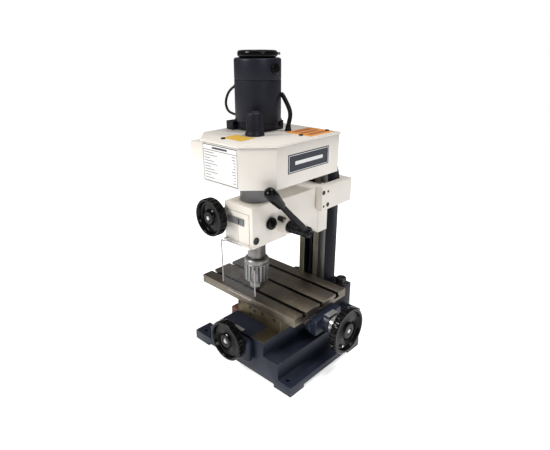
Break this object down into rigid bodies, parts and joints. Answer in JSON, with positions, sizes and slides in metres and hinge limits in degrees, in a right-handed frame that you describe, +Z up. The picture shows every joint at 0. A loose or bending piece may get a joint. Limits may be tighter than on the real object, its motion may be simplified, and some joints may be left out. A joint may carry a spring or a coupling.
{
  "type": "benchtop milling machine",
  "caption": "Benchtop mill: cast base, cross-slide table, column, belt-driven head with a lever-fed quill and a key chuck.",
  "frame": {"origin": "on the ground under the middle of the machine's bounding box", "axes": "+Z up along the spindle, +X to the operator's right along the table, +Y away from the operator towards the column"},
  "size_m": [0.3024, 0.29, 0.54],
  "materials": {
    "navy_paint": "semi-gloss navy-grey enamel on cast iron",
    "black_paint": "semi-gloss blue-black enamel",
    "cream_paint": "satin cream enamel on castings and sheet metal",
    "grey_paint": "satin grey enamel",
    "bare_iron": "machined and oiled cast iron with an olive-brown film",
    "ground_iron": "ground cast iron with fine parallel marks",
    "bright_steel": "turned bright steel",
    "chuck_steel": "hardened dark polished steel",
    "brass": "machined bronze",
    "black_plastic": "moulded black phenolic, glossy",
    "rubber": "black rubber",
    "clear_guard": "clear polycarbonate sheet",
    "red_plastic": "glossy red plastic",
    "green_plastic": "glossy green plastic",
    "circuit_board": "green circuit board with dark components"
  },
  "bodies": {
    "frame": {"base_casting": "navy_paint", "column": "black_paint", "column_bolt_left": "bright_steel", "column_bolt_right": "bright_steel", "y_bracket": "navy_paint"},
    "y_screw": {"y_lead_screw": "bright_steel", "y_dial": "bright_steel", "y_handwheel": "black_plastic"},
    "saddle": {"saddle": "bare_iron", "y_nut": "brass", "x_nut": "brass"},
    "table": {"table": "ground_iron", "x_bracket": "navy_paint"},
    "x_screw": {"x_lead_screw": "bright_steel", "x_dial": "bright_steel", "x_handwheel": "black_plastic"},
    "z_screw": {"z_lead_screw": "bright_steel", "z_hand_knob": "black_plastic"},
    "head": {"head_casting": "cream_paint", "column_yoke": "cream_paint", "z_nut": "brass", "head_collar": "grey_paint", "belt_cover": "cream_paint", "cover_lid": "cream_paint", "spindle_cap": "black_plastic", "drive_belt": "rubber", "control_board": "circuit_board", "worm_box": "cream_paint", "control_box": "cream_paint", "motor_foot": "black_paint", "motor_can": "black_paint", "motor_end_bell": "black_paint", "brush_cap_left": "black_plastic", "brush_cap_right": "black_plastic", "fan_cover": "black_plastic", "motor_lead": "rubber", "motor_loop_lead": "rubber"},
    "quill": {"quill": "bright_steel", "quill_bearing": "bright_steel"},
    "spindle": {"spindle": "bright_steel", "chuck_body": "chuck_steel"},
    "chuck_sleeve": {"chuck_sleeve": "chuck_steel"},
    "jaw_1": {"chuck_jaw_1": "bright_steel"},
    "jaw_2": {"chuck_jaw_2": "bright_steel"},
    "jaw_3": {"chuck_jaw_3": "bright_steel"},
    "feed_lever": {"pinion_shaft": "bright_steel", "lever_hub": "black_plastic", "lever_rod": "bright_steel", "lever_knob": "black_plastic"},
    "fine_feed": {"feed_shaft": "bright_steel", "feed_handwheel": "black_plastic"},
    "motor_drive": {"motor_rotor": "bright_steel", "motor_pulley": "bright_steel"},
    "spindle_pulley": {"spindle_pulley": "bright_steel"},
    "guard": {"guard": "clear_guard"},
    "quill_lock": {"quill_lock_knob": "black_plastic"},
    "rocker": {"rocker_switch": "green_plastic"},
    "stop": {"stop_button": "red_plastic"},
    "speed": {"speed_knob": "black_plastic"}
  },
  "joints": [
    {"name": "y_screw_turn", "type": "hinge", "parent": "frame", "child": "y_screw", "pos_m": [-0.00685, -0.138, 0.0674], "axis": [0, 1, 0], "range_deg": [-9360, 720]},
    {"name": "saddle_slide", "type": "slide", "parent": "frame", "child": "saddle", "axis": [0, 1, 0], "range_m": [-0.052, 0.004]},
    {"name": "x_screw_turn", "type": "hinge", "parent": "table", "child": "x_screw", "pos_m": [0.14315, 0.001, 0.0893], "axis": [1, 0, 0], "range_deg": [-5400, 17640]},
    {"name": "table_slide", "type": "slide", "parent": "saddle", "child": "table", "axis": [1, 0, 0], "range_m": [-0.03, 0.098]},
    {"name": "z_screw_turn", "type": "hinge", "parent": "frame", "child": "z_screw", "pos_m": [-0.00685, 0.0895, 0.39], "axis": [0, 0, 1], "range_deg": [-2520, 10800]},
    {"name": "head_slide", "type": "slide", "parent": "frame", "child": "head", "axis": [0, 0, 1], "range_m": [-0.014, 0.06]},
    {"name": "lever_turn", "type": "hinge", "parent": "head", "child": "feed_lever", "pos_m": [0.03815, -0.0336, 0.264], "axis": [1, 0, 0], "range_deg": [0, 61.1], "stiffness_Nm_per_rad": 0.12, "springref_deg": -171.89},
    {"name": "quill_slide", "type": "slide", "parent": "head", "child": "quill", "axis": [0, 0, -1], "range_m": [0, 0.016]},
    {"name": "fine_feed_turn", "type": "hinge", "parent": "head", "child": "fine_feed", "pos_m": [-0.05235, -0.124, 0.281], "axis": [0, 1, 0], "continuous": true},
    {"name": "motor_turn", "type": "hinge", "parent": "head", "child": "motor_drive", "pos_m": [-0.04385, -0.019, 0.45], "axis": [0, 0, 1], "continuous": true},
    {"name": "spindle_pulley_turn", "type": "hinge", "parent": "head", "child": "spindle_pulley", "pos_m": [-0.00685, -0.064, 0.36], "axis": [0, 0, 1], "continuous": true},
    {"name": "spindle_turn", "type": "hinge", "parent": "quill", "child": "spindle", "pos_m": [-0.00685, -0.064, 0.3], "axis": [0, 0, 1], "continuous": true},
    {"name": "chuck_sleeve_turn", "type": "hinge", "parent": "spindle", "child": "chuck_sleeve", "pos_m": [-0.00685, -0.064, 0.18], "axis": [0, 0, 1], "range_deg": [0, 1645]},
    {"name": "jaw_1_slide", "type": "slide", "parent": "spindle", "child": "jaw_1", "axis": [0.309, 0, 0.9511], "range_m": [0, 0.008]},
    {"name": "jaw_2_slide", "type": "slide", "parent": "spindle", "child": "jaw_2", "axis": [-0.1545, 0.2676, 0.9511], "range_m": [0, 0.008]},
    {"name": "jaw_3_slide", "type": "slide", "parent": "spindle", "child": "jaw_3", "axis": [-0.1545, -0.2676, 0.9511], "range_m": [0, 0.008]},
    {"name": "guard_swing", "type": "hinge", "parent": "head", "child": "guard", "pos_m": [-0.00685, -0.1085, 0.24], "axis": [-1, 0, 0], "range_deg": [0, 85]},
    {"name": "quill_lock_turn", "type": "hinge", "parent": "head", "child": "quill_lock", "pos_m": [0.02615, -0.0633, 0.2735], "axis": [1, 0, 0], "range_deg": [0, 90]},
    {"name": "rocker_tilt", "type": "hinge", "parent": "head", "child": "rocker", "pos_m": [-0.12785, -0.083, 0.3805], "axis": [0, 1, 0], "range_deg": [0, 16]},
    {"name": "stop_press", "type": "slide", "parent": "head", "child": "stop", "axis": [1, 0, 0], "range_m": [0, 0.0045], "stiffness_N_per_m": 400, "springref_m": -0.004},
    {"name": "speed_turn", "type": "hinge", "parent": "head", "child": "speed", "pos_m": [-0.13285, -0.037, 0.3805], "axis": [-1, 0, 0], "range_deg": [0, 280]}
  ],
  "couplings": [
    {"joint": "y_screw_turn", "follows": "saddle_slide", "rad_per_m": 3141.6},
    {"joint": "x_screw_turn", "follows": "table_slide", "rad_per_m": 3141.6},
    {"joint": "z_screw_turn", "follows": "head_slide", "rad_per_m": 3141.6},
    {"joint": "quill_slide", "follows": "lever_turn", "m_per_rad": 0.015},
    {"joint": "spindle_pulley_turn", "follows": "motor_turn", "ratio": 0.4},
    {"joint": "spindle_turn", "follows": "motor_turn", "ratio": 0.4},
    {"joint": "jaw_1_slide", "follows": "chuck_sleeve_turn", "m_per_rad": 0.00027852},
    {"joint": "jaw_2_slide", "follows": "chuck_sleeve_turn", "m_per_rad": 0.00027852},
    {"joint": "jaw_3_slide", "follows": "chuck_sleeve_turn", "m_per_rad": 0.00027852}
  ]
}
